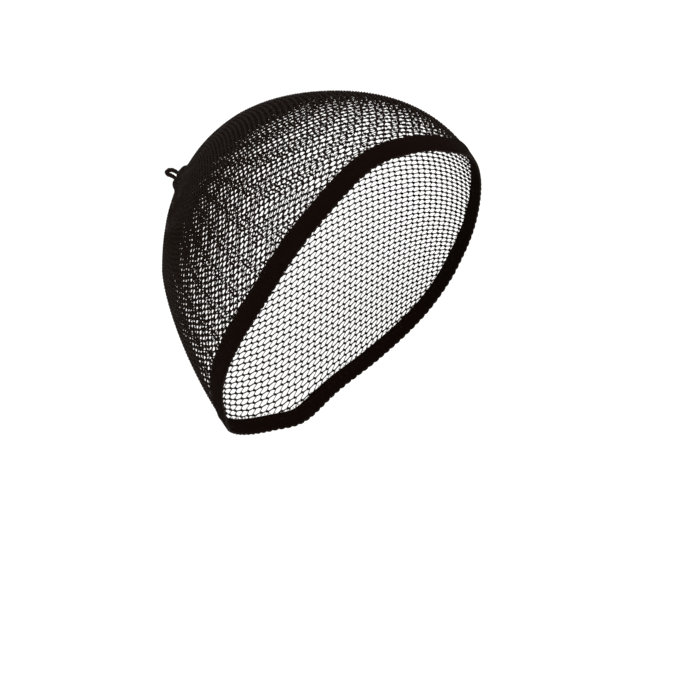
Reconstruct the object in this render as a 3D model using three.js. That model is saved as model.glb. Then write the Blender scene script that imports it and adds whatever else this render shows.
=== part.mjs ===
// A stretch net wig cap with an elastic edge, in the form that it has when it is worn.
// Millimetres, +Z up. The wearer faces -Y, and the wearer's left is +X.
// The origin is the inside of the crown's highest point, where the cap bears on its wearer.

import * as THREE from 'three';

// Form of the stretched cap, outside the net, measured from its widest level
const HALF_WIDTH = 74;
const FRONT_REACH = 89;
const BACK_REACH = 92;
const CROWN_RISE = 89.5;
const NAPE_REACH = 128; // depth at which the tapering lower half would close
const CROWN_ROUNDNESS = 2.3; // power of the upper half's outline: 2 is an ellipse, more is fuller
const NAPE_ROUNDNESS = 1.45; // power of the lower half's outline, nearly a straight taper

// Walls
const NET_THICK = 1;
const SEAM_GAP = 0.3; // clearance between neighbouring pieces

// Elastic band round the face and nape
const BAND_WIDTH = 9.3;
const BAND_THICK = 1.6;
const BAND_CORNER = 0.4; // rounding of the band's four long edges

// Height of the band's lower edge from the widest level, on the wearer's right and left, by turn in
// degrees from the front's midline to the back's. The cap is worn slightly turned, lower on the left.
const RIM = [
  { turn: 0, right: 55, left: 55 },
  { turn: 20, right: 53.7, left: 52.7 },
  { turn: 40, right: 44, left: 38.5 },
  { turn: 60, right: 16, left: 10.5 },
  { turn: 80, right: -17.5, left: -21.5 },
  { turn: 100, right: -41, left: -44 },
  { turn: 120, right: -59.5, left: -61 },
  { turn: 140, right: -78, left: -78 },
  { turn: 160, right: -82.8, left: -82.8 },
  { turn: 180, right: -84.5, left: -84.5 },
];
const RIM_STEP = RIM[1].turn - RIM[0].turn;

// Gathered end of the net tube, drawn together right of the back's midline
const KNOT_TURN = THREE.MathUtils.degToRad(26); // from the back's midline to the wearer's right
const KNOT_RISE = THREE.MathUtils.degToRad(31.4); // above the widest level
const KNOT_RADIUS = 6.5;
const KNOT_HEIGHT = 2.4;
const KNOT_LIP = 0.4; // height of the knot's outer edge
const KNOT_LEAN = 0.2; // share of the height that it loses towards the crown and gains towards the nape
const KNOT_DIMPLE = 0.55; // share of the height that the drawn-in middle loses
const DIMPLE_SHARE = 0.45; // the dimple's radius, as a share of the knot's
const PUCKERS = 9;
const PUCKER_DEPTH = 0.22; // share of the height

// Radial gathers of the net round the knot
const GATHERS = 18;
const GATHER_DEPTH = 0.7;
const GATHER_PEAK = 14; // distance from the knot's centre where the gathers are deepest
const GATHER_REACH = 48; // distance where they have run out

// Loop of tying cord that stands out of the knot's dimple
const CORD_RADIUS = 0.95;
const LOOP = [
  { out: 2.45, up: 1.35 },
  { out: 3.5, up: 1.35 },
  { out: 4.6, up: 1.3 },
  { out: 5.8, up: 0.95 },
  { out: 6.75, up: 0.2 },
  { out: 7.25, up: -0.55 },
  { out: 7.25, up: -1.25 },
  { out: 6.65, up: -1.85 },
  { out: 5.8, up: -1.8 },
  { out: 4.5, up: -1.6 },
  { out: 3.5, up: -1.55 },
  { out: 2.7, up: -1.55 },
];

// Fineness of the faceted solids
const NET_STATIONS = 72; // round the knot, four to a gather
const NET_ROWS = 24; // from the knot to the band
const ROW_CROWDING = 1.25; // above 1, the rows draw together towards the knot
const BAND_STATIONS = 120;
const KNOT_STATIONS = 36; // four to a pucker
const KNOT_ROWS = 6;
const CORD_STEPS = 28;
const CORD_SIDES = 8;

const black = (roughness) => new THREE.MeshStandardMaterial({ color: 0x16110e, roughness, metalness: 0 });

// Centre of the form, on its widest level
const centre = new THREE.Vector3(0, 0, NET_THICK - CROWN_RISE);

// Knot axis, and the two directions square to it: over the crown, and round to the wearer's right
const knotAxis = new THREE.Vector3(
  -Math.sin(KNOT_TURN) * Math.cos(KNOT_RISE),
  Math.cos(KNOT_TURN) * Math.cos(KNOT_RISE),
  Math.sin(KNOT_RISE),
);
const overCrown = new THREE.Vector3(0, 0, 1).projectOnPlane(knotAxis).normalize();
const roundSide = new THREE.Vector3().crossVectors(overCrown, knotAxis);

// Distance from the centre to the outside of the form along a unit direction
function formRadius(direction) {
  const reach = direction.y < 0 ? FRONT_REACH : BACK_REACH;
  const plan = Math.hypot(direction.x / HALF_WIDTH, direction.y / reach);
  const rise = direction.z > 0 ? direction.z / CROWN_RISE : -direction.z / NAPE_REACH;
  const roundness = direction.z > 0 ? CROWN_ROUNDNESS : NAPE_ROUNDNESS;
  return (plan ** roundness + rise ** roundness) ** (-1 / roundness);
}

// Point that lies a lift outside the form along a unit direction
function formPoint(direction, lift = 0) {
  return direction.clone().multiplyScalar(formRadius(direction) + lift).add(centre);
}

// Unit direction at a polar angle from the knot axis and an angle round it, from the crown's side
function meridian(angle, polar) {
  return new THREE.Vector3()
    .addScaledVector(knotAxis, Math.cos(polar))
    .addScaledVector(overCrown, Math.sin(polar) * Math.cos(angle))
    .addScaledVector(roundSide, Math.sin(polar) * Math.sin(angle));
}

// Height of the band's lower edge at a direction's turn, on a smooth closed curve through RIM
function rimHeight(direction) {
  const last = RIM.length - 1;
  const place = THREE.MathUtils.radToDeg(Math.atan2(direction.x, -direction.y)) / RIM_STEP;
  const row = Math.floor(place);
  const heightAt = (i) => {
    const step = THREE.MathUtils.euclideanModulo(i, 2 * last);
    return step <= last ? RIM[step].left : RIM[2 * last - step].right;
  };
  const heights = new THREE.CatmullRomCurve3(
    [-1, 0, 1, 2].map((k) => new THREE.Vector3(k, 0, heightAt(row + k))),
    false,
    'catmullrom',
  );
  return heights.getPoint((1 + place - row) / 3).z;
}

// Polar angle at which a meridian reaches the rim, by halving the stretch that the rim lies in
function rimPolar(angle) {
  const HALVINGS = 40;
  let above = THREE.MathUtils.degToRad(20);
  let below = THREE.MathUtils.degToRad(150);
  for (let i = 0; i < HALVINGS; i += 1) {
    const middle = (above + below) / 2;
    const direction = meridian(angle, middle);
    if (formRadius(direction) * direction.z > rimHeight(direction)) above = middle;
    else below = middle;
  }
  return above;
}

// Unit direction to the point that lies a climb above the rim, square to it along the form
function aboveRim(angle, climb) {
  const STEP = 0.01; // small angle either way, which gives the rim's direction
  const polar = rimPolar(angle);
  const rim = formPoint(meridian(angle, polar));
  const before = formPoint(meridian(angle - STEP, rimPolar(angle - STEP)));
  const after = formPoint(meridian(angle + STEP, rimPolar(angle + STEP)));
  const along = after.sub(before).normalize();
  const up = formPoint(meridian(angle, polar - STEP)).sub(rim);
  up.addScaledVector(along, -up.dot(along)).normalize();
  return rim.addScaledVector(up, climb).sub(centre).normalize();
}

// Polar angle and angle round the knot of a unit direction
function polarOf(direction) {
  const polar = direction.angleTo(knotAxis);
  const angle = Math.atan2(direction.dot(roundSide), direction.dot(overCrown));
  return { polar, angle };
}

// Closed solid from a stack of rings of points, each ring closed on itself.
// A ring of one point is an apex; without apexes the last ring joins the first.
function ringSolid(rings) {
  const starts = [];
  const positions = [];
  for (const ring of rings) {
    starts.push(positions.length / 3);
    for (const point of ring) positions.push(...point.toArray());
  }
  const count = Math.max(...rings.map((ring) => ring.length));
  const hasApexes = rings[0].length === 1;
  const spans = hasApexes ? rings.length - 1 : rings.length;
  const at = (row, i) => starts[row] + (rings[row].length === 1 ? 0 : i % count);
  const index = [];
  for (let row = 0; row < spans; row += 1) {
    const next = (row + 1) % rings.length;
    for (let i = 0; i < count; i += 1) {
      if (rings[next].length > 1) index.push(at(row, i), at(next, i + 1), at(next, i));
      if (rings[row].length > 1) index.push(at(row, i), at(row, i + 1), at(next, i + 1));
    }
  }
  const geometry = new THREE.BufferGeometry();
  geometry.setAttribute('position', new THREE.Float32BufferAttribute(positions, 3));
  geometry.setIndex(index);
  geometry.computeVertexNormals();
  return geometry;
}

// Evenly spaced angles round a full turn
function turns(count) {
  return Array.from({ length: count }, (_, i) => (i / count) * 2 * Math.PI);
}

// How far the net falls between its radial gathers at a place near the knot
function gatherFall(polar, angle) {
  const distance = polar * formRadius(knotAxis);
  const rise = THREE.MathUtils.smoothstep(distance, KNOT_RADIUS, GATHER_PEAK);
  const fade = 1 - THREE.MathUtils.smoothstep(distance, GATHER_PEAK, GATHER_REACH);
  return 0.5 * GATHER_DEPTH * rise * fade * (1 - Math.cos(GATHERS * angle));
}

// Net wall: one thin shell from the knot to the band, open at the face and underneath
function crownNet() {
  const edges = turns(NET_STATIONS).map((angle) => polarOf(aboveRim(angle, BAND_WIDTH + SEAM_GAP)));
  const ring = (row, lift) => {
    const share = (row / NET_ROWS) ** ROW_CROWDING;
    return edges.map(({ polar, angle }) =>
      formPoint(meridian(angle, polar * share), lift - gatherFall(polar * share, angle)),
    );
  };
  const rows = Array.from({ length: NET_ROWS }, (_, i) => i + 1);
  const outside = [[formPoint(knotAxis)], ...rows.map((row) => ring(row, 0))];
  const inside = [...rows.map((row) => ring(row, -NET_THICK)).reverse(), [formPoint(knotAxis, -NET_THICK)]];
  return ringSolid([...outside, ...inside]);
}

// Elastic band: a strip with rounded edges that runs round the whole rim, flush with the net inside
function edgeBand() {
  const low = -NET_THICK;
  const high = BAND_THICK - NET_THICK;
  const section = [
    { climb: BAND_CORNER, lift: high },
    { climb: BAND_WIDTH - BAND_CORNER, lift: high },
    { climb: BAND_WIDTH, lift: high - BAND_CORNER },
    { climb: BAND_WIDTH, lift: low + BAND_CORNER },
    { climb: BAND_WIDTH - BAND_CORNER, lift: low },
    { climb: BAND_CORNER, lift: low },
    { climb: 0, lift: low + BAND_CORNER },
    { climb: 0, lift: high - BAND_CORNER },
  ];
  const angles = turns(BAND_STATIONS);
  const rings = section.map(({ climb, lift }) =>
    angles.map((angle) => formPoint(aboveRim(angle, climb), lift)),
  );
  return ringSolid(rings.reverse());
}

// Drawn-together end of the net: a low puckered button with a dimple, seated on the net
function gatherKnot() {
  const angles = turns(KNOT_STATIONS);
  const fullPolar = KNOT_RADIUS / formRadius(knotAxis);
  const topLift = (share, angle) => {
    const dome = KNOT_LIP + (KNOT_HEIGHT - KNOT_LIP) * Math.sqrt(1 - share ** 2);
    const dimple = 1 - KNOT_DIMPLE * Math.exp(-((share / DIMPLE_SHARE) ** 2));
    const pucker = 1 + PUCKER_DEPTH * Math.sin(Math.PI * share) * Math.cos(PUCKERS * angle);
    const lean = 1 - KNOT_LEAN * share * Math.cos(angle);
    return SEAM_GAP + dome * dimple * pucker * lean;
  };
  const ring = (row, liftAt) => {
    const share = row / KNOT_ROWS;
    return angles.map((angle) => formPoint(meridian(angle, fullPolar * share), liftAt(share, angle)));
  };
  const rows = Array.from({ length: KNOT_ROWS }, (_, i) => i + 1);
  const top = [[formPoint(knotAxis, topLift(0, 0))], ...rows.map((row) => ring(row, topLift))];
  const seat = rows.map((row) => ring(row, () => SEAM_GAP)).reverse();
  return ringSolid([...top, ...seat, [formPoint(knotAxis, SEAM_GAP)]]);
}

// Tying cord: one round cord bent into a loop, both ends seated in the knot's dimple
function tieLoop() {
  const foot = formPoint(knotAxis, SEAM_GAP);
  const path = new THREE.CatmullRomCurve3(
    LOOP.map(({ out, up }) => foot.clone().addScaledVector(knotAxis, out).addScaledVector(overCrown, up)),
  );
  const section = new THREE.Shape(
    turns(CORD_SIDES).map(
      (angle) => new THREE.Vector2(CORD_RADIUS * Math.cos(angle), CORD_RADIUS * Math.sin(angle)),
    ),
  );
  return new THREE.ExtrudeGeometry(section, { steps: CORD_STEPS, extrudePath: path, bevelEnabled: false });
}

const cap = new THREE.Group();
const pieces = [
  { name: 'crown_net', geometry: crownNet(), roughness: 0.75 },
  { name: 'edge_band', geometry: edgeBand(), roughness: 0.8 },
  { name: 'gather_knot', geometry: gatherKnot(), roughness: 0.75 },
  { name: 'tie_loop', geometry: tieLoop(), roughness: 0.7 },
];
for (const { name, geometry, roughness } of pieces) {
  const mesh = new THREE.Mesh(geometry, black(roughness));
  mesh.name = name;
  cap.add(mesh);
}

export default cap;
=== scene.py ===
# %% [markdown]
# # A stretch-net wig cap
#
# The cap is a tube of knitted nylon net. One end is drawn together into a knot at the back, and an
# elastic band is sewn round the other end. This lesson dresses the imported solids of that cap with
# the real yarns: the net, its knot, its tying cord and its ribbed band with a picot edge.
# The imported model comes in first, as a fixed frame. Its box is kept.

# %% Load the imported cap
import math

import bpy
import numpy as np
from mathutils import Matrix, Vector


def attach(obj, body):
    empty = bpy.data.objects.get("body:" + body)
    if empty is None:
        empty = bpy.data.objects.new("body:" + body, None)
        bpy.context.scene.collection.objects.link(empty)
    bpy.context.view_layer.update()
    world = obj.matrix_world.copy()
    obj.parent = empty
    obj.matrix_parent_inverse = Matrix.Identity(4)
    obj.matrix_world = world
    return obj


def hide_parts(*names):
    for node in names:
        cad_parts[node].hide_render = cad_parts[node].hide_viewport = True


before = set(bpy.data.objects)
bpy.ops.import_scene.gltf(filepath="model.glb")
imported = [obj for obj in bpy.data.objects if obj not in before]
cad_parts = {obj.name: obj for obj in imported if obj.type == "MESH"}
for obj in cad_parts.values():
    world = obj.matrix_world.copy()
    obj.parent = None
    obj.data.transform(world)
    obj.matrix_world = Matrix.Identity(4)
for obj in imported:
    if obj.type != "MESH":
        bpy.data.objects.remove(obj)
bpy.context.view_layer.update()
MM = 0.001  # Blender works in metres, and the cap's sizes are easier to read in millimetres
print("nodes:", sorted(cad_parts))

# %% [markdown]
# ## The form that every yarn lies on
#
# Worn net takes the shape of what it is stretched over, so one smooth form carries every piece.
# It could be sculpted, but a rule is easier to follow: the distance from the middle of the form to
# its outside depends only on the direction. The upper half is a little fuller than an ellipsoid,
# and the lower half tapers towards the nape. Each function takes whole arrays of directions.

# %% The form as a rule
HALF_WIDTH, FRONT_REACH, BACK_REACH = 74 * MM, 89 * MM, 92 * MM
CROWN_RISE, NAPE_REACH = 89.5 * MM, 128 * MM
CROWN_ROUNDNESS, NAPE_ROUNDNESS = 2.3, 1.45  # powers of the outline: 2 is an ellipse
NET_THICK = 1 * MM
CENTRE = np.array([0, 0, NET_THICK - CROWN_RISE])


def unit(vectors):
    return vectors / np.linalg.norm(vectors, axis=-1, keepdims=True)


def form_radius(direction):
    """Distance from the centre to the outside of the form along each unit direction."""
    x, y, z = np.moveaxis(direction, -1, 0)
    plan = np.hypot(x / HALF_WIDTH, y / np.where(y < 0, FRONT_REACH, BACK_REACH))
    rise = np.abs(z) / np.where(z > 0, CROWN_RISE, NAPE_REACH)
    power = np.where(z > 0, CROWN_ROUNDNESS, NAPE_ROUNDNESS)
    return (plan**power + rise**power) ** (-1 / power)


def form_point(direction, lift=0.0):
    """Point that lies a lift outside the form along each unit direction."""
    return direction * (form_radius(direction) + lift)[..., None] + CENTRE


net_wall = np.array([v.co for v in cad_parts["crown_net"].data.vertices])
outward = net_wall - CENTRE
stand_off = np.linalg.norm(outward, axis=1) - form_radius(unit(outward))
print(f"the net's solid lies {stand_off.min() / MM:.2f} to {stand_off.max() / MM:.2f} mm off the form")

# %% [markdown]
# ## Directions round the knot
#
# The net was knitted as a tube, so its rows ring the knot and its columns run from the knot to the
# band. Turns about the vertical would cut across both. Polar coordinates about the knot's axis
# follow them: an angle round the knot, which is 0 towards the crown, and a polar angle away from it.

# %% Polar coordinates about the knot
KNOT_TURN, KNOT_RISE = math.radians(26), math.radians(31.4)  # right of the back's midline, and up
AXIS = np.array([
    -math.sin(KNOT_TURN) * math.cos(KNOT_RISE),
    math.cos(KNOT_TURN) * math.cos(KNOT_RISE),
    math.sin(KNOT_RISE),
])
OVER_CROWN = unit(np.array([0, 0, 1]) - AXIS[2] * AXIS)
ROUND_SIDE = np.cross(OVER_CROWN, AXIS)
KNOT_REACH = float(form_radius(AXIS))


def meridian(angle, polar):
    """Unit direction at an angle round the knot and a polar angle from its axis."""
    angle, polar = (a[..., None] for a in np.broadcast_arrays(angle, polar))
    sideways = np.cos(angle) * OVER_CROWN + np.sin(angle) * ROUND_SIDE
    return np.cos(polar) * AXIS + np.sin(polar) * sideways


print(f"knot at {np.round(form_point(AXIS) / MM, 1)} mm")

# %% [markdown]
# ## The rim
#
# The band's lower edge is high at the front, falls past the temples and runs round the nape. It could
# be drawn by hand as a curve, but the net and the band both need its height at any turn. So a short
# table gives the height in millimetres, over the form's middle, at every 20 degrees from the front,
# and a smooth curve joins the rows.

# %% The rim's height from a short table
RIM = [
    {"turn": 0, "right": 55, "left": 55},
    {"turn": 20, "right": 53.7, "left": 52.7},
    {"turn": 40, "right": 44, "left": 38.5},
    {"turn": 60, "right": 16, "left": 10.5},
    {"turn": 80, "right": -17.5, "left": -21.5},
    {"turn": 100, "right": -41, "left": -44},
    {"turn": 120, "right": -59.5, "left": -61},
    {"turn": 140, "right": -78, "left": -78},
    {"turn": 160, "right": -82.8, "left": -82.8},
    {"turn": 180, "right": -84.5, "left": -84.5},
]
RIM_STEP = RIM[1]["turn"] - RIM[0]["turn"]


def smooth_through(rows, place, closed):
    """Values at places, counted in rows, on a smooth curve that goes through every row."""
    row = np.floor(place).astype(int)
    if closed:
        near = [(row + k) % len(rows) for k in (-1, 0, 1, 2)]
    else:
        row = np.minimum(row, len(rows) - 2)
        near = [np.clip(row + k, 0, len(rows) - 1) for k in (-1, 0, 1, 2)]
    before, here, after, later = (rows[index] for index in near)
    t = (place - row).reshape(place.shape + (1,) * (rows.ndim - 1))
    slope, curve = after - before, 2 * before - 5 * here + 4 * after - later
    return here + 0.5 * t * (slope + t * (curve + t * (3 * here - before - 3 * after + later)))


def rim_height(direction):
    """Height of the band's lower edge over the form's middle, at each direction's turn."""
    there = [row["left"] for row in RIM]
    back = [row["right"] for row in RIM[-2:0:-1]]
    place = np.degrees(np.arctan2(direction[..., 0], -direction[..., 1])) / RIM_STEP
    return smooth_through(np.array(there + back) * MM, place, closed=True)


front_and_nape = rim_height(np.array([[0, -1, 0], [0, 1, 0]]))
print(f"the rim is {np.round(front_and_nape / MM, 1)} mm over the form's middle at the front and nape")

# %% [markdown]
# ## The rim on the form
#
# The rim is where a meridian's height falls to the table's curve. No formula gives that place, so
# halving finds it, for all the angles at once. The band stands square to the rim, so a second
# function climbs from the rim at right angles to it.

# %% Places on the rim and above it
HALVINGS = 40
LEAST_POLAR, MOST_POLAR = math.radians(20), math.radians(150)  # every meridian meets the rim between
PROBE = 0.01  # radians from a place to its neighbours, which show how the rim and the form run there
FINE_STEPS = 2000


def rim_polar(angle):
    """Polar angle at which each meridian reaches the rim."""
    above = np.full(np.shape(angle), LEAST_POLAR)
    below = np.full(np.shape(angle), MOST_POLAR)
    for _ in range(HALVINGS):
        middle = (above + below) / 2
        direction = meridian(angle, middle)
        high = form_radius(direction) * direction[..., 2] > rim_height(direction)
        above, below = np.where(high, middle, above), np.where(high, below, middle)
    return above


def above_rim(angle, climb):
    """Unit direction to the point that lies a climb above the rim, square to it along the form."""
    polar = rim_polar(angle)
    rim, before, after = (
        form_point(meridian(angle + turn, rim_polar(angle + turn))) for turn in (0, -PROBE, PROBE)
    )
    along = unit(after - before)
    up = form_point(meridian(angle, polar - PROBE)) - rim
    up = unit(up - (up * along).sum(-1, keepdims=True) * along)
    return unit(rim + up * np.asarray(climb)[..., None] - CENTRE)


def run_along(path):
    """Length along a path, up to each of its points."""
    steps = np.linalg.norm(np.diff(path, axis=0), axis=1)
    return np.concatenate([[0], np.cumsum(steps)])


fine_turns = np.linspace(0, 2 * math.pi, FINE_STEPS + 1)
rim_run = run_along(form_point(meridian(fine_turns, rim_polar(fine_turns))))
print(f"the rim is {rim_run[-1] / MM:.0f} mm round")

# %% [markdown]
# ## Small helpers
#
# Geometry and material trees are both made of nodes, settings and links. One small function adds a
# node, sets its properties, and fills each input with a value or links it to another socket. Another
# turns a hex code, which gives a colour as a screen shows it, into the linear values that shaders
# work with. The last two put an object into the scene and count a mesh's triangles.

# %% Nodes, colours, objects and triangles
def add(tree, kind, inputs=None, **settings):
    node = tree.nodes.new(kind)
    for name, value in settings.items():
        setattr(node, name, value)
    for socket, value in (inputs or {}).items():
        if isinstance(value, bpy.types.NodeSocket):
            tree.links.new(value, node.inputs[socket])
        else:
            node.inputs[socket].default_value = value
    return node


def srgb(code):
    """Linear colour, with alpha, from an sRGB hex code."""
    parts = [int(code[i : i + 2], 16) / 255 for i in (1, 3, 5)]
    linear = [p / 12.92 if p <= 0.04045 else ((p + 0.055) / 1.055) ** 2.4 for p in parts]
    return (*linear, 1)


def new_object(name, data):
    made = bpy.data.objects.new(name, data)
    bpy.context.scene.collection.objects.link(made)
    return made


def triangle_count(mesh):
    return sum(len(face.vertices) - 2 for face in mesh.polygons)


print("darkest black of the net, linear:", [round(c, 4) for c in srgb("#100905")])

# %% [markdown]
# ## Uneven dye
#
# Black yarn is never one black: lint, wear and the dye bath leave patches that are a little lighter.
# Painting them would tie them to one mesh. A noise in the object's own coordinates lies the same way
# on every yarn and band, and its scale comes from the size of a patch.

# %% Dye for any material
PATCH_SIZE = 4 * MM


def uneven_dye(tree, dark, light, detail):
    """Colour that wanders between two hex codes from patch to patch."""
    place = add(tree, "ShaderNodeTexCoord")
    patches = add(
        tree, "ShaderNodeTexNoise",
        {"Vector": place.outputs["Object"], "Scale": 1 / PATCH_SIZE, "Detail": detail},
    )
    # A colour mix has its colour sockets after its number and vector ones
    dye = add(
        tree, "ShaderNodeMix",
        {"Factor": patches.outputs["Fac"], 6: srgb(dark), 7: srgb(light)},
        data_type="RGBA",
    )
    return dye.outputs[2]


print(f"dye patches of {PATCH_SIZE / MM:.0f} mm")

# %% [markdown]
# ## Crimped nylon yarn
#
# The net is knitted from crimped nylon, dyed a warm black. Crimping bulks the filaments, so the yarn
# is matte, a little fuzzy, and catches light only as a soft sheen at grazing angles. The crimp could
# be a noise, but real crimp runs in waves along the yarn. So the bump is a sine of the length along
# it, which each yarn mesh carries as an attribute.

# %% Nylon yarn material
CRIMP_LENGTH, CRIMP_DEPTH = 0.5 * MM, 0.05 * MM  # one wave of the filaments


def nylon_yarn(name, dark, light, roughness):
    material = bpy.data.materials.new(name)
    material.use_nodes = True
    tree = material.node_tree
    shader = tree.nodes["Principled BSDF"]
    shader.inputs["Roughness"].default_value = roughness
    shader.inputs["IOR"].default_value = 1.53  # nylon
    shader.inputs["Specular IOR Level"].default_value = 0.035  # filaments shade each other
    shader.inputs["Sheen Weight"].default_value = 0.005
    shader.inputs["Sheen Roughness"].default_value = 0.5
    tree.links.new(uneven_dye(tree, dark, light, detail=3.0), shader.inputs["Base Color"])
    run = add(tree, "ShaderNodeAttribute", attribute_name="along")
    waves = add(
        tree, "ShaderNodeMath",
        {0: run.outputs["Fac"], 1: 2 * math.pi / CRIMP_LENGTH},
        operation="MULTIPLY",
    )
    crimp = add(tree, "ShaderNodeMath", {0: waves.outputs[0]}, operation="SINE")
    bump = add(
        tree, "ShaderNodeBump",
        {"Height": crimp.outputs[0], "Strength": 0.35, "Distance": CRIMP_DEPTH},
    )
    tree.links.new(bump.outputs["Normal"], shader.inputs["Normal"])
    return material


net_nylon = nylon_yarn("Crimped nylon net yarn", "#100905", "#19100b", roughness=0.75)
print("material:", net_nylon.name)

# %% [markdown]
# ## Yarn from a path
#
# Every yarn on the cap is a round tube that follows a path and changes thickness along it. A bevelled
# curve object could do that for one yarn. A Geometry Nodes tree does it for hundreds at once: the
# paths come in as a mesh of bare edges with a share of the radius stored at each point, become
# curves, take a ring as their section, and leave as one mesh. The length along each yarn is stored
# for the material.

# %% The yarn tree
def new_socket(tree, name, kind, in_out="INPUT"):
    return tree.interface.new_socket(name, in_out=in_out, socket_type=f"NodeSocket{kind}")


yarn_tree = bpy.data.node_groups.new("Yarn along paths", "GeometryNodeTree")
new_socket(yarn_tree, "Paths", "Geometry")
RADIUS = new_socket(yarn_tree, "Radius", "Float").identifier
SIDES = new_socket(yarn_tree, "Sides", "Int").identifier
YARN_MATERIAL = new_socket(yarn_tree, "Material", "Material").identifier
new_socket(yarn_tree, "Yarns", "Geometry", "OUTPUT")

given = add(yarn_tree, "NodeGroupInput")
curves = add(yarn_tree, "GeometryNodeMeshToCurve", {"Mesh": given.outputs["Paths"]})
spline = add(yarn_tree, "GeometryNodeSplineParameter")
measured = add(
    yarn_tree, "GeometryNodeStoreNamedAttribute",
    {"Geometry": curves.outputs["Curve"], "Name": "along", "Value": spline.outputs["Length"]},
    data_type="FLOAT", domain="POINT",
)
ring = add(
    yarn_tree, "GeometryNodeCurvePrimitiveCircle",
    {"Resolution": given.outputs["Sides"], "Radius": 1.0},
)
share_here = add(
    yarn_tree, "GeometryNodeInputNamedAttribute", {"Name": "radius_share"}, data_type="FLOAT",
)
radius_here = add(
    yarn_tree, "ShaderNodeMath",
    {0: share_here.outputs["Attribute"], 1: given.outputs["Radius"]},
    operation="MULTIPLY",
)
tubes = add(
    yarn_tree, "GeometryNodeCurveToMesh",
    {
        "Curve": measured.outputs["Geometry"],
        "Profile Curve": ring.outputs["Curve"],
        "Scale": radius_here.outputs[0],
        "Fill Caps": True,
    },
)
smooth = add(yarn_tree, "GeometryNodeSetShadeSmooth", {"Geometry": tubes.outputs["Mesh"]})
joined = add(yarn_tree, "GeometryNodeRealizeInstances", {"Geometry": smooth.outputs["Geometry"]})
dyed = add(
    yarn_tree, "GeometryNodeSetMaterial",
    {"Geometry": joined.outputs["Geometry"], "Material": given.outputs["Material"]},
)
add(yarn_tree, "NodeGroupOutput", {"Yarns": dyed.outputs["Geometry"]})
print(f"{yarn_tree.name}: {len(yarn_tree.nodes)} nodes")


# %% Yarns as one mesh
def yarns(name, points, radius, material, shares=None, kept=None, closed=False, sides=5):
    """One mesh of tubes along points of shape (yarns, steps, 3), in metres.

    The shares of the radius are 1 at every point unless they are given. Where kept is given, it
    says for each point whether the yarn is still there or was cut off.
    """
    count, steps = points.shape[:2]
    shares = np.ones((count, steps)) if shares is None else shares
    kept = np.ones((count, steps), dtype=bool) if kept is None else kept
    number = (np.cumsum(kept) - 1).reshape(count, steps)
    last = steps if closed else steps - 1
    edges = np.stack([number, np.roll(number, -1, axis=1)], axis=-1)[:, :last]
    whole = (kept & np.roll(kept, -1, axis=1))[:, :last]
    bare = bpy.data.meshes.new(name)
    bare.from_pydata(points[kept], edges[whole], [])
    stored = bare.attributes.new("radius_share", "FLOAT", "POINT")
    stored.data.foreach_set("value", shares[kept].astype(np.float32))
    piece = new_object(name, bare)
    maker = piece.modifiers.new("Yarn", "NODES")
    maker.node_group = yarn_tree
    maker[RADIUS] = radius
    maker[SIDES] = sides
    maker[YARN_MATERIAL] = material
    graph = bpy.context.evaluated_depsgraph_get()
    finished = bpy.data.meshes.new_from_object(
        piece.evaluated_get(graph), preserve_all_data_layers=True, depsgraph=graph
    )
    piece.modifiers.clear()
    piece.data = finished
    bpy.data.meshes.remove(bare)
    finished.name = name
    print(f"{name}: {count} yarns, {triangle_count(finished)} triangles")
    return piece


# %% [markdown]
# ## Gathers and the cut edge
#
# Round the knot there is too much net for the space, so it falls into shallow radial gathers. At the
# other end it is cut off under the band. Both could be worked into each yarn by hand. As rules of the
# place on the form they hold for every yarn alike, wherever it happens to pass.

# %% Gathers round the knot
GATHERS, GATHER_DEPTH = 18, 0.7 * MM
KNOT_RADIUS, GATHER_PEAK, GATHER_END = 6.5 * MM, 14 * MM, 48 * MM  # from the knot's centre


def ramp(value, start, end):
    """0 before start, 1 after end, and smooth between them."""
    t = np.clip((value - start) / (end - start), 0, 1)
    return t * t * (3 - 2 * t)


def gather_fall(angle, polar):
    """How far the net falls between the radial gathers round the knot."""
    distance = polar * KNOT_REACH
    share = ramp(distance, KNOT_RADIUS, GATHER_PEAK) * (1 - ramp(distance, GATHER_PEAK, GATHER_END))
    return 0.5 * GATHER_DEPTH * share * (1 - np.cos(GATHERS * angle))


deepest = gather_fall(math.pi / GATHERS, GATHER_PEAK / KNOT_REACH)
print(f"{GATHERS} gathers, {deepest / MM:.1f} mm deep")

# %% Where the net is cut off
BAND_WIDTH = 9.3 * MM
CUT_SHARE = 0.5  # of the band's width, so that the band covers the cut ends

cut_direction = above_rim(fine_turns, CUT_SHARE * BAND_WIDTH)
cut_polar = np.arccos(cut_direction @ AXIS)
cut_angle = np.arctan2(cut_direction @ ROUND_SIDE, cut_direction @ OVER_CROWN)
least, most = np.degrees([cut_polar.min(), cut_polar.max()])
print(f"the net is cut off {least:.0f} to {most:.0f} degrees from the knot")

# %% [markdown]
# ## Where the net's knots lie
#
# The net is a fine warp knit. Its knots are short thick bars that stand along the columns, and thin
# strands slant from bar to bar. One tile of it could be repeated, but worn net is stretched unevenly:
# the columns lie closer over the crown than at the nape, and the rows lie further apart the farther
# they are from the knot. So a place in the net is a column number and a row number, and one function
# says where on the form that is.

# %% Net coordinates
COLUMNS = 184
CROWN_CROWDING, SIDE_SPREAD = 0.22, 0.11  # shares by which columns crowd at the crown, part at the sides
COLUMN_TWIST = -4.5  # columns that the net winds round the knot in each radian away from it
ROW_DENSITY, ROW_POWER = 56, 0.89  # rows in the first radian from the knot, and how they thin out
CROWN_STRETCH, CROWN_FOCUS = 0.2, 4.6  # share by which rows lie wider over the crown, how narrowly
NAPE_STRETCH = 0.05  # the same towards the nape
LAST_ROW = 130
NET_START = 4.5 * MM  # from the knot's centre
PASSES = 3  # the twist and the stretch depend on each other, so they are found in turn

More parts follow.
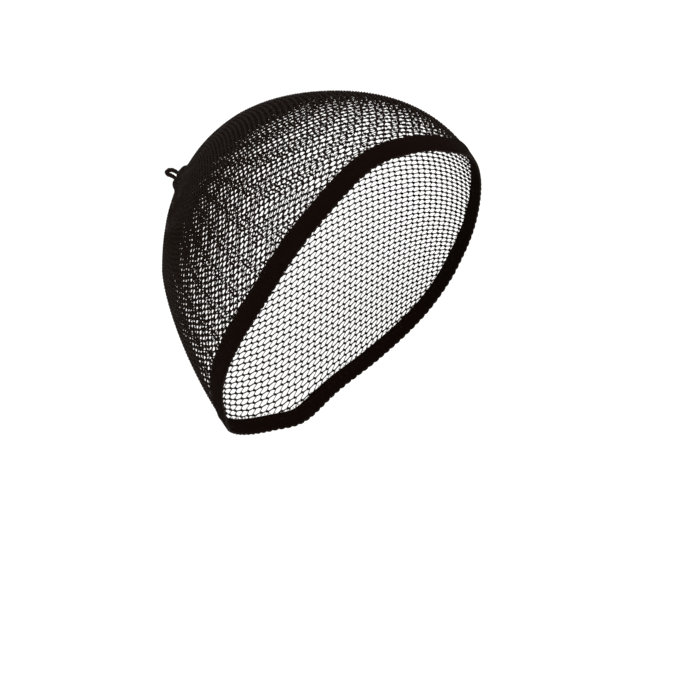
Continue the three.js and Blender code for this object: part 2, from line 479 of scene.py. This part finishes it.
column_at = COLUMNS / (2 * math.pi) * (
    fine_turns + CROWN_CROWDING * np.sin(fine_turns) + 0.5 * SIDE_SPREAD * np.sin(2 * fine_turns)
)


def net_place(column, row):
    """Angle and polar angle of a place in the net."""
    angle = np.interp(np.mod(column, COLUMNS), column_at, fine_turns)
    for _ in range(PASSES):
        crownwards = 0.5 + 0.5 * np.cos(angle)
        stretch = CROWN_STRETCH * crownwards**CROWN_FOCUS + NAPE_STRETCH * (1 - crownwards)
        density = ROW_DENSITY * (1 - stretch)
        polar = NET_START / KNOT_REACH + (np.clip(row, 0, None) / density) ** (1 / ROW_POWER)
        angle = np.interp(np.mod(column - COLUMN_TWIST * polar, COLUMNS), column_at, fine_turns)
    return angle, polar


def above_cut(column, row):
    """Whether a place in the net lies above the line where the net is cut off."""
    angle, polar = net_place(column, row)
    return polar < np.interp(angle, cut_angle, cut_polar, period=2 * math.pi)


def net_point(column, row):
    """Point in the middle of the net's thickness."""
    angle, polar = net_place(column, row)
    return form_point(meridian(angle, polar), -0.5 * NET_THICK - gather_fall(angle, polar))


for side, column in {"crown": 0, "side": COLUMNS / 4, "nape": COLUMNS / 2}.items():
    rows = np.arange(LAST_ROW + 1)
    one_column = net_point(np.full(LAST_ROW + 1, column), rows)[above_cut(column, rows)]
    length = run_along(one_column)[-1]
    print(f"a column at the {side} has {len(one_column)} rows and is {length / MM:.0f} mm long")

# %% [markdown]
# ## The net
#
# Two sets of yarns spiral in opposite directions, and meet at every bar. In a bar the two lie side by
# side and cross over, which makes it thick. Between bars each is drawn out thin by the stretch. A
# see-through pattern on a plain surface would be lighter, but it would look flat near the outline, so
# every yarn is a tube. Its path has four points for each bar: where it enters, two in the thick of
# it, and where it leaves. Near the knot and towards the nape the net is less stretched, so its yarns
# are bulkier there, until the columns crowd them.

# %% Paths of the net's yarns
PAIRING = 0.2  # every second column lies this share of a spacing nearer the one before it
BAR_LENGTH, BAR_SHARE = 1.5 * MM, 0.45  # at most this share of the way between a column's bars
BAR_LEAN = 0.33  # sideways run of a bar for each unit along its column
BAR_RADIUS, BAR_LIFT, BAR_SIDE = 0.6 * MM, 0.12 * MM, 0.26 * MM
BAR_POINTS = [  # a yarn's way through a bar, in shares of half its length, its side step and its lift
    {"along": -1, "across": -1, "lift": 0},
    {"along": -0.4, "across": -0.6, "lift": 1},
    {"along": 0.4, "across": 0.6, "lift": 1},
    {"along": 1, "across": 1, "lift": 0},
]
WAY = {"clockwise": 1, "counter": -1}
STRAND_RADIUS = {"clockwise": 0.27 * MM, "counter": 0.23 * MM}
RELAXED_BULK = 0.6  # added share of thickness where the yarn is least stretched, by the knot
RELAXED_REACH = (30 * MM, 120 * MM)  # where that starts to fade and ends, from the knot
NAPE_BULK = 0.4  # the same at the nape, where the form is narrower
CLOSE_COLUMNS = 1.15 * MM  # below this spacing the yarns are squeezed thinner
SQUEEZE_POWER, LEAST_SQUEEZE = 0.75, 0.37  # how fast they thin, and how far


def net_paths(way, first, count):
    """Points, shares of the radius and what is kept, for yarns that spiral one way."""
    row = np.arange(LAST_ROW + 1)[None, :]
    column = 2 * np.arange(first, first + count)[:, None] + WAY[way] * row
    kept = above_cut(column, row)
    column = column - PAIRING * (column % 2)
    middle = net_point(column, row)
    down = net_point(column, row + 1) - net_point(column, row - 1)
    round_knot = net_point(column + 0.5, row) - net_point(column - 0.5, row)
    spacing = np.linalg.norm(round_knot, axis=-1, keepdims=True)
    half = 0.5 * np.minimum(BAR_LENGTH, BAR_SHARE * np.linalg.norm(down, axis=-1, keepdims=True))
    bar = unit(unit(down) + BAR_LEAN * unit(round_knot))
    side = unit(round_knot - (round_knot * bar).sum(-1, keepdims=True) * bar)
    out = unit(middle - CENTRE)
    angle, polar = net_place(column, row)
    by_knot = 1 - ramp(polar * KNOT_REACH, *RELAXED_REACH)
    relaxed = 1 + RELAXED_BULK * by_knot + NAPE_BULK * (0.5 - 0.5 * np.cos(angle))
    squeeze = np.clip((spacing / CLOSE_COLUMNS) ** SQUEEZE_POWER, LEAST_SQUEEZE, 1)
    bulk = relaxed[..., None] * squeeze
    across = WAY[way] * side * BAR_SIDE * bulk
    over = WAY[way] * out * BAR_LIFT * squeeze
    strand = STRAND_RADIUS[way] / BAR_RADIUS * bulk
    points, shares = [], []
    for point in BAR_POINTS:
        in_bar = point["along"] * half * bar + point["across"] * across + point["lift"] * over
        points.append(middle + in_bar)
        shares.append(squeeze if point["lift"] else strand)
    points = np.stack(points, axis=2).reshape(count, -1, 3)
    shares = np.concatenate(shares, axis=-1).reshape(count, -1)
    return points, shares, np.repeat(kept, len(BAR_POINTS), axis=1)


# %% The net's yarns
PIECES_EACH_WAY = 2  # with five sides to a tube, this keeps a piece under 200,000 triangles
yarns_each = COLUMNS // 2 // PIECES_EACH_WAY
net_pieces = []
for way in WAY:
    for number in range(PIECES_EACH_WAY):
        points, shares, kept = net_paths(way, number * yarns_each, yarns_each)
        name = f"net_yarns_{way}_{number + 1}"
        net_pieces.append(yarns(name, points, BAR_RADIUS, net_nylon, shares, kept))

# %% [markdown]
# ## Knitted elastic
#
# The band is warp-knitted elastic: covered rubber threads lie lengthwise in the ribs, and a fine
# nylon chain binds them. It is the same warm black and quite matte, because the ribs and their small
# stitches trap the light. The ribs are real geometry. The stitches along them are about a millimetre
# long and very shallow, so they are bump: slanted waves that turn back at each rib. They are read
# from a map of metres along the band and shares of its width.

# %% Elastic material
STITCH_LENGTH, STITCH_DEPTH = 1.1 * MM, 0.12 * MM
RIBS = 9


def knitted_elastic():
    material = bpy.data.materials.new("Knitted elastic")
    material.use_nodes = True
    tree = material.node_tree
    shader = tree.nodes["Principled BSDF"]
    shader.inputs["Roughness"].default_value = 0.82
    shader.inputs["Specular IOR Level"].default_value = 0.01  # ribs and stitches shade each other
    tree.links.new(uneven_dye(tree, "#0b0503", "#110906", detail=4.0), shader.inputs["Base Color"])
    cloth = add(tree, "ShaderNodeUVMap", uv_map="cloth")
    axes = add(tree, "ShaderNodeSeparateXYZ", {0: cloth.outputs["UV"]})
    in_rib = add(tree, "ShaderNodeMath", {0: axes.outputs["Y"], 1: 0.5 / RIBS}, operation="PINGPONG")
    slant = add(tree, "ShaderNodeMath", {0: in_rib.outputs[0], 1: 0.5 * RIBS}, operation="MULTIPLY")
    stitch = add(
        tree, "ShaderNodeMath", {0: axes.outputs["X"], 1: 1 / STITCH_LENGTH}, operation="MULTIPLY",
    )
    chevron = add(
        tree, "ShaderNodeMath", {0: stitch.outputs[0], 1: slant.outputs[0]}, operation="ADD",
    )
    turn = add(tree, "ShaderNodeMath", {0: chevron.outputs[0], 1: 2 * math.pi}, operation="MULTIPLY")
    wave = add(tree, "ShaderNodeMath", {0: turn.outputs[0]}, operation="SINE")
    bump = add(
        tree, "ShaderNodeBump",
        {"Height": wave.outputs[0], "Strength": 0.5, "Distance": STITCH_DEPTH},
    )
    tree.links.new(bump.outputs["Normal"], shader.inputs["Normal"])
    return material


elastic = knitted_elastic()
print("material:", elastic.name)

# %% [markdown]
# ## The band
#
# The band is a strip of elastic, sewn on stretched. A bevelled curve would turn its section as it
# goes round, so the strip is a grid: stations along the rim and points round its section, each laid
# on the form. Stations are spaced evenly by length, because the angle round the knot is not. The
# outer face carries nine ribs and rolls over at both edges, and the inner face is plain.

# %% Stations along the rim
PICOT_PITCH = 3.8 * MM
PICOT_STATIONS = 6  # stations of the band for each picot on its edge
picots = round(rim_run[-1] / PICOT_PITCH)


def even_turns(count):
    """Angles round the knot that divide the rim into equal lengths."""
    return np.interp(np.arange(count) * rim_run[-1] / count, rim_run, fine_turns)


stations = even_turns(picots * PICOT_STATIONS)
print(f"{len(stations)} stations, {rim_run[-1] / len(stations) / MM:.2f} mm apart")


# %% A skin from a grid
def grid_mesh(name, rings, material, maps=None):
    """Closed skin of quads from (stations, points round a section, 3).

    With maps, the section closes on itself and takes a map of how far along and across each point
    lies. Without them it runs from pole to pole, and a small face closes each pole.
    """
    stations, around = rings.shape[:2]
    steps = around if maps else around - 1
    i, j = np.meshgrid(np.arange(stations), np.arange(steps), indexing="ij")
    k, m = (i + 1) % stations, (j + 1) % around
    faces = np.stack([i * around + j, i * around + m, k * around + m, k * around + j], axis=-1)
    faces = faces.reshape(-1, 4).tolist()
    if not maps:
        pole = list(range(0, stations * around, around))
        faces += [pole, [corner + around - 1 for corner in reversed(pole)]]
    mesh = bpy.data.meshes.new(name)
    mesh.from_pydata(rings.reshape(-1, 3), [], faces)
    if maps:
        along, across = maps
        uv = mesh.uv_layers.new(name="cloth")
        corner_i = np.stack([i, i, i + 1, i + 1], axis=-1).reshape(-1)
        corner_j = np.stack([j, m, m, j], axis=-1).reshape(-1)
        pairs = np.stack([along[corner_i], across[corner_j]], axis=-1)
        uv.data.foreach_set("uv", pairs.astype(np.float32).ravel())
    mesh.polygons.foreach_set("use_smooth", np.ones(len(mesh.polygons), dtype=bool))
    mesh.materials.append(material)
    print(f"{name}: {triangle_count(mesh)} triangles")
    return new_object(name, mesh)


# %% The ribbed band
BAND_THICK, BAND_CORNER = 1.6 * MM, 0.4 * MM
RIB_DEPTH = 0.16 * MM
RIB_POINTS, INNER_POINTS = 5, 12  # across each rib, and across the whole inner face


def edge_drop(share):
    """How far either face has rolled in, at a share of the band's width."""
    inward = min(min(share, 1 - share) * BAND_WIDTH / BAND_CORNER, 1)
    return BAND_CORNER * (1 - math.sqrt(1 - (1 - inward) ** 2))


def band_line(share, lift):
    """Line round the cap at a share of the band's width and a lift off the form."""
    return form_point(above_rim(stations, share * BAND_WIDTH), lift)


outer_shares = np.linspace(0, 1, RIBS * RIB_POINTS + 1)
inner_shares = np.linspace(1, 0, INNER_POINTS + 2)[1:-1]
section = []
for share in outer_shares:
    groove = RIB_DEPTH * (1 - abs(math.sin(math.pi * RIBS * share)))
    section.append(band_line(share, BAND_THICK - NET_THICK - groove - edge_drop(share)))
for share in inner_shares:
    section.append(band_line(share, edge_drop(share) - NET_THICK))
band_along = np.linspace(0, rim_run[-1], len(stations) + 1)
band_across = np.concatenate([outer_shares, inner_shares])
band = grid_mesh("edge_band_elastic", np.stack(section, axis=1), elastic, (band_along, band_across))

# %% [markdown]
# ## The picot edge
#
# The lower edge of the band has a row of small rounded loops, called picots, which keep it from
# cutting in. They could be single loops set side by side, but on the real band one thicker yarn makes
# them all: it runs along the edge and bows out of it once for each picot. That is a path on a
# surface, so the yarn tree makes it.

# %% The picots
PICOT_DEPTH, PICOT_RADIUS = 0.7 * MM, 0.55 * MM
PICOT_BOW = 0.7  # power of the bow: the lower it is, the fuller the picots are
PICOT_CLIMB, PICOT_LIFT = 0.35 * MM, -0.2 * MM  # where the yarn meets the edge, above rim and form
PICOT_FOOT = 0.75  # share of its thickness there
PICOT_STEPS, PICOT_SIDES = 10, 6

steps = np.arange(picots * PICOT_STEPS)
bow = np.abs(np.sin(math.pi * steps / PICOT_STEPS)) ** PICOT_BOW
picot_direction = above_rim(even_turns(len(steps)), PICOT_CLIMB - PICOT_DEPTH * bow)
picot_path = form_point(picot_direction, PICOT_LIFT)
picot_shares = PICOT_FOOT + (1 - PICOT_FOOT) * bow
picot_edge = yarns(
    "picot_edge", picot_path[None], PICOT_RADIUS, net_nylon, picot_shares[None],
    closed=True, sides=PICOT_SIDES,
)

# %% [markdown]
# ## The seam
#
# A zigzag stitch holds the net under the band's upper edge and lets the seam stretch. It could be a
# bump on the band, but it crosses from the band to the net. One sewing thread makes it, so its path
# goes from side to side of the edge, bending over the band's corner.

# %% The zigzag stitch
ZIGZAG_LENGTH = 2.6 * MM
THREAD_RADIUS = 0.15 * MM
LEG = [  # millimetres above the band's upper edge and off the form
    {"climb": -1.7, "lift": 0.62},
    {"climb": -0.5, "lift": 0.62},
    {"climb": 0.1, "lift": 0.1},
    {"climb": 0.7, "lift": -0.35},
]

zigzags = round(rim_run[-1] / ZIGZAG_LENGTH)
down_leg = np.array([[point["climb"], point["lift"]] for point in LEG]) * MM
zigzag = np.concatenate([down_leg, down_leg[::-1]] * zigzags)
seam_direction = above_rim(even_turns(len(zigzag)), BAND_WIDTH + zigzag[:, 0])
seam_path = form_point(seam_direction, zigzag[:, 1])
seam = yarns("seam_stitch", seam_path[None], THREAD_RADIUS, net_nylon, closed=True)

# %% [markdown]
# ## The gathered knot
#
# At the back all the columns are drawn together, and the net bunches into a low puckered button with
# a dimple in its middle. Cloth could be simulated until it bunches, but a rule for the button's top
# is steadier. A plain body fills it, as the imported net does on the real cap, and the drawn yarns lie
# over it: each climbs its edge, rides over a pucker and dives into the dimple.

# %% The knot's body
KNOT_HEIGHT, KNOT_LIP, SEAM_GAP = 2.4 * MM, 0.4 * MM, 0.3 * MM
KNOT_LEAN = 0.2  # share by which the top is lower towards the crown
KNOT_DIMPLE, DIMPLE_SHARE = 0.55, 0.45  # the dimple's depth and reach, as shares of height and radius
PUCKERS, PUCKER_DEPTH = 9, 0.22
KNOT_STATIONS, KNOT_ROWS = 90, 16
POLE_SHARE = 0.02  # of the knot's radius, where a small face closes the pole
BODY_SINK = 0.5 * MM  # the body lies this far under the puckered top


def knot_top(angle, share):
    """Height of the puckered top at a share of the knot's radius."""
    dome = KNOT_LIP + (KNOT_HEIGHT - KNOT_LIP) * np.sqrt(np.clip(1 - share**2, 0, None))
    dimple = 1 - KNOT_DIMPLE * np.exp(-((share / DIMPLE_SHARE) ** 2))
    pucker = 1 + PUCKER_DEPTH * np.sin(math.pi * np.clip(share, 0, 1)) * np.cos(PUCKERS * angle)
    lean = 1 - KNOT_LEAN * share * np.cos(angle)
    return SEAM_GAP + dome * dimple * pucker * lean


def knot_point(angle, share, lift):
    return form_point(meridian(angle, share * KNOT_RADIUS / KNOT_REACH), lift)


knot_turns = np.linspace(0, 2 * math.pi, KNOT_STATIONS, endpoint=False)
knot_shares = np.linspace(POLE_SHARE, 1, KNOT_ROWS)
knot_rings = [knot_point(knot_turns, share, 0.0) for share in knot_shares]
for share in reversed(knot_shares):
    knot_rings.append(knot_point(knot_turns, share, knot_top(knot_turns, share) - BODY_SINK))
knot_body = grid_mesh("gather_knot_body", np.stack(knot_rings, axis=1), net_nylon)

# %% The drawn yarns over the knot
DRAWN_YARNS, DRAWN_STEPS = 92, 14
DRAWN_RADIUS = 0.36 * MM
DRAWN_TIP = 0.55  # share of its thickness that a yarn keeps in the dimple
DRAWN_START, DRAWN_ENDS = 1.3, (0.1, 0.38)  # in shares of the knot's radius, two ends by turns
DRAWN_SWAY, SWAY_WAVES = 0.25, 3  # radians that the yarns lean to one side, and how often round
DRAWN_SINK = 0.3 * MM  # a yarn's middle lies this far under the puckered top
SETTLE, SETTLE_LIFT = (0.95, 1.25), -0.4 * MM  # where it comes down to the net, and how low

drawn_turns = np.linspace(0, 2 * math.pi, DRAWN_YARNS, endpoint=False)[:, None]
inner_end = np.resize(DRAWN_ENDS, DRAWN_YARNS)[:, None]
drawn_share = DRAWN_START + (inner_end - DRAWN_START) * np.linspace(0, 1, DRAWN_STEPS)[None, :]
sway = drawn_turns + DRAWN_SWAY * (1 - drawn_share) * np.sin(SWAY_WAVES * drawn_turns)
settle = ramp(drawn_share, *SETTLE)
drawn_lift = (1 - settle) * (knot_top(sway, drawn_share) - DRAWN_SINK) + settle * SETTLE_LIFT
drawn_path = knot_point(sway, drawn_share, drawn_lift)
drawn_thick = DRAWN_TIP + (1 - DRAWN_TIP) * np.clip(drawn_share, 0, 1)
knot_yarns = yarns("gather_knot_yarns", drawn_path, DRAWN_RADIUS, net_nylon, drawn_thick)

# %% [markdown]
# ## The tying cord
#
# The knot is tied with a short cord, and its bight stands out as a loop. One tube with a bump could
# stand for it, but the twist shows at the cord's outline, so its three plies are modelled. The cord's
# path is worked out first, as a smooth curve through a few given points, and each ply winds round
# that path a third of a turn from the next.

# %% The tie loop
LOOP = [  # millimetres out of the knot and up over the crown
    {"out": 0.9, "up": 1.3},
    {"out": 2.45, "up": 1.35},
    {"out": 3.5, "up": 1.35},
    {"out": 4.6, "up": 1.3},
    {"out": 5.8, "up": 0.95},
    {"out": 6.75, "up": 0.2},
    {"out": 7.25, "up": -0.55},
    {"out": 7.25, "up": -1.25},
    {"out": 6.65, "up": -1.85},
    {"out": 5.8, "up": -1.8},
    {"out": 4.5, "up": -1.6},
    {"out": 3.5, "up": -1.55},
    {"out": 2.7, "up": -1.55},
    {"out": 1.2, "up": -1.55},
]
LOOP_STEPS = 90
PLIES, PLY_RADIUS, PLY_OFFSET, PLY_SIDES = 3, 0.6 * MM, 0.47 * MM, 7
LAY_LENGTH = 5 * MM  # along the cord, for one turn of a ply
BIGHT_BULK = 0.35  # added share of a ply's thickness where the cord turns back and its plies open

corners = np.array([[point["out"], point["up"]] for point in LOOP]) * MM
flat = smooth_through(corners, np.linspace(0, len(corners) - 1, LOOP_STEPS), closed=False)
foot = form_point(AXIS, SEAM_GAP)
loop_path = foot + flat[:, :1] * AXIS + flat[:, 1:] * OVER_CROWN
loop_run = run_along(loop_path)
forward = unit(np.gradient(loop_path, axis=0))
sideways = np.broadcast_to(ROUND_SIDE, forward.shape)
upward = np.cross(forward, sideways)
plies = []
for ply in range(PLIES):
    turn = (2 * math.pi * (loop_run / LAY_LENGTH + ply / PLIES))[:, None]
    plies.append(loop_path + PLY_OFFSET * (np.cos(turn) * sideways + np.sin(turn) * upward))
cord_nylon = nylon_yarn("Twisted nylon cord", "#120a07", "#1e1410", roughness=0.6)
ply_shares = 1 + BIGHT_BULK * np.sin(math.pi * loop_run / loop_run[-1]) ** 2
tie_loop = yarns(
    "tie_loop_cord", np.stack(plies), PLY_RADIUS, cord_nylon, np.tile(ply_shares, (PLIES, 1)),
    sides=PLY_SIDES,
)
print(f"the loop shows about {loop_run[-1] / MM:.0f} mm of cord")

# %% [markdown]
# ## What each piece stands for
#
# The cap has no joints, so every piece rides on the one body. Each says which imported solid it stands
# for, and which finish of the record it takes.

# %% Seat the pieces
STANDS_FOR = [
    {"pieces": net_pieces, "node": "crown_net", "slot": "net_yarn"},
    {"pieces": [band, picot_edge, seam], "node": "edge_band", "slot": "elastic"},
    {"pieces": [knot_body, knot_yarns], "node": "gather_knot", "slot": "net_yarn"},
    {"pieces": [tie_loop], "node": "tie_loop", "slot": "tie_cord"},
]
for entry in STANDS_FOR:
    for piece in entry["pieces"]:
        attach(piece, "root")
        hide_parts(entry["node"])
print("pieces:", sum(len(entry["pieces"]) for entry in STANDS_FOR))

# %% [markdown]
# ## Camera
#
# The picture is taken level, from the wearer's front right, with a long lens. The form's middle stands
# left of and above the middle of the frame, so the camera is moved sideways and down by that much, and
# needs no shift.

# %% Place the camera
AZIMUTH = math.radians(-55)
DISTANCE = 1.0  # metres
FRAME_PIXELS = 700
PIXELS_PER_METRE = 1976  # at the form's middle
MIDDLE_PIXEL = (330.6, 269.5)  # where the form's middle lies in the picture
SENSOR = 36.0  # millimetres, as the lens is


def facing(direction):
    """Turn of a camera or a lamp that looks along a direction."""
    return Vector(direction).to_track_quat("-Z", "Y").to_euler()


towards = np.array([math.sin(AZIMUTH), -math.cos(AZIMUTH), 0])
rightward = np.array([math.cos(AZIMUTH), math.sin(AZIMUTH), 0])
aside = (FRAME_PIXELS / 2 - MIDDLE_PIXEL[0]) / PIXELS_PER_METRE
below = (FRAME_PIXELS / 2 - MIDDLE_PIXEL[1]) / PIXELS_PER_METRE
camera_data = bpy.data.cameras.new("Camera")
camera_data.sensor_width = SENSOR
camera_data.lens = SENSOR * DISTANCE * PIXELS_PER_METRE / FRAME_PIXELS
camera = new_object("Camera", camera_data)
camera.location = Vector(CENTRE + DISTANCE * towards + aside * rightward - np.array([0, 0, below]))
camera.rotation_euler = facing(-towards)
bpy.context.scene.camera = camera
print(f"lens {camera_data.lens:.1f} mm, camera at {[round(c, 3) for c in camera.location]}")

# %% [markdown]
# ## Floor and light
#
# The cap is shown against seamless white: a floor that sweeps up into a wall behind it. A plane and a
# wall would show a line where they meet. Large soft lamps from the upper right, the left and above
# light it, and a white world fills the rest.

# %% The white sweep
FLOOR_DROP = 0.195  # metres below the form's middle, as all the sizes here are metres
SWEEP_FRONT, SWEEP_BACK, SWEEP_WIDTH = -4.0, 2.2, 8.0
SWEEP_BEND, SWEEP_TOP = 0.8, 4.0
BEND_STEPS = 24

bend = np.linspace(0, math.pi / 2, BEND_STEPS)
profile = [(SWEEP_FRONT, 0.0)]
profile += [(SWEEP_BACK + SWEEP_BEND * math.sin(a), SWEEP_BEND * (1 - math.cos(a))) for a in bend]
profile += [(SWEEP_BACK + SWEEP_BEND, SWEEP_TOP)]
sweep_points = []
for depth, height in profile:
    for half in (-0.5, 0.5):
        place = -depth * towards + half * SWEEP_WIDTH * rightward
        sweep_points.append((place[0], place[1], CENTRE[2] - FLOOR_DROP + height))
sweep_faces = [(2 * i, 2 * i + 1, 2 * i + 3, 2 * i + 2) for i in range(len(profile) - 1)]
sweep_mesh = bpy.data.meshes.new("White sweep")
sweep_mesh.from_pydata(sweep_points, [], sweep_faces)
sweep_mesh.polygons.foreach_set("use_smooth", np.ones(len(sweep_faces), dtype=bool))
paper = bpy.data.materials.new("White paper")  # matte, so that no lamp shines in it
paper.use_nodes = True
paper.node_tree.nodes["Principled BSDF"].inputs["Base Color"].default_value = srgb("#f6f5f4")
paper.node_tree.nodes["Principled BSDF"].inputs["Roughness"].default_value = 0.9
sweep_mesh.materials.append(paper)
sweep = new_object("White sweep", sweep_mesh)
print(f"floor {FLOOR_DROP / MM:.0f} mm below the form's middle")

# %% Soft lamps
LAMPS = [  # places and sizes in metres from the form's middle, powers in watts
    {"name": "Key", "side": 0.9, "out": 1.1, "up": 0.9, "size": 1.1, "power": 10},
    {"name": "Fill", "side": -1.3, "out": 0.6, "up": 0.4, "size": 1.2, "power": 4},
    {"name": "Top", "side": 0.0, "out": -0.2, "up": 1.5, "size": 1.4, "power": 7},
]
WORLD_STRENGTH = 1.15

for lamp in LAMPS:
    light = bpy.data.lights.new(lamp["name"], "AREA")
    light.shape = "DISK"
    light.size = lamp["size"]
    light.energy = lamp["power"]
    spot = CENTRE + lamp["side"] * rightward + lamp["out"] * towards + np.array([0, 0, lamp["up"]])
    holder = new_object(lamp["name"], light)
    holder.location = Vector(spot)
    holder.rotation_euler = facing(CENTRE - spot)
world = bpy.data.worlds.new("White studio")
world.use_nodes = True
world.node_tree.nodes["Background"].inputs["Color"].default_value = srgb("#ffffff")
world.node_tree.nodes["Background"].inputs["Strength"].default_value = WORLD_STRENGTH
bpy.context.scene.world = world
bpy.context.scene.view_settings.view_transform = "Standard"
print("lamps:", [lamp["name"] for lamp in LAMPS])
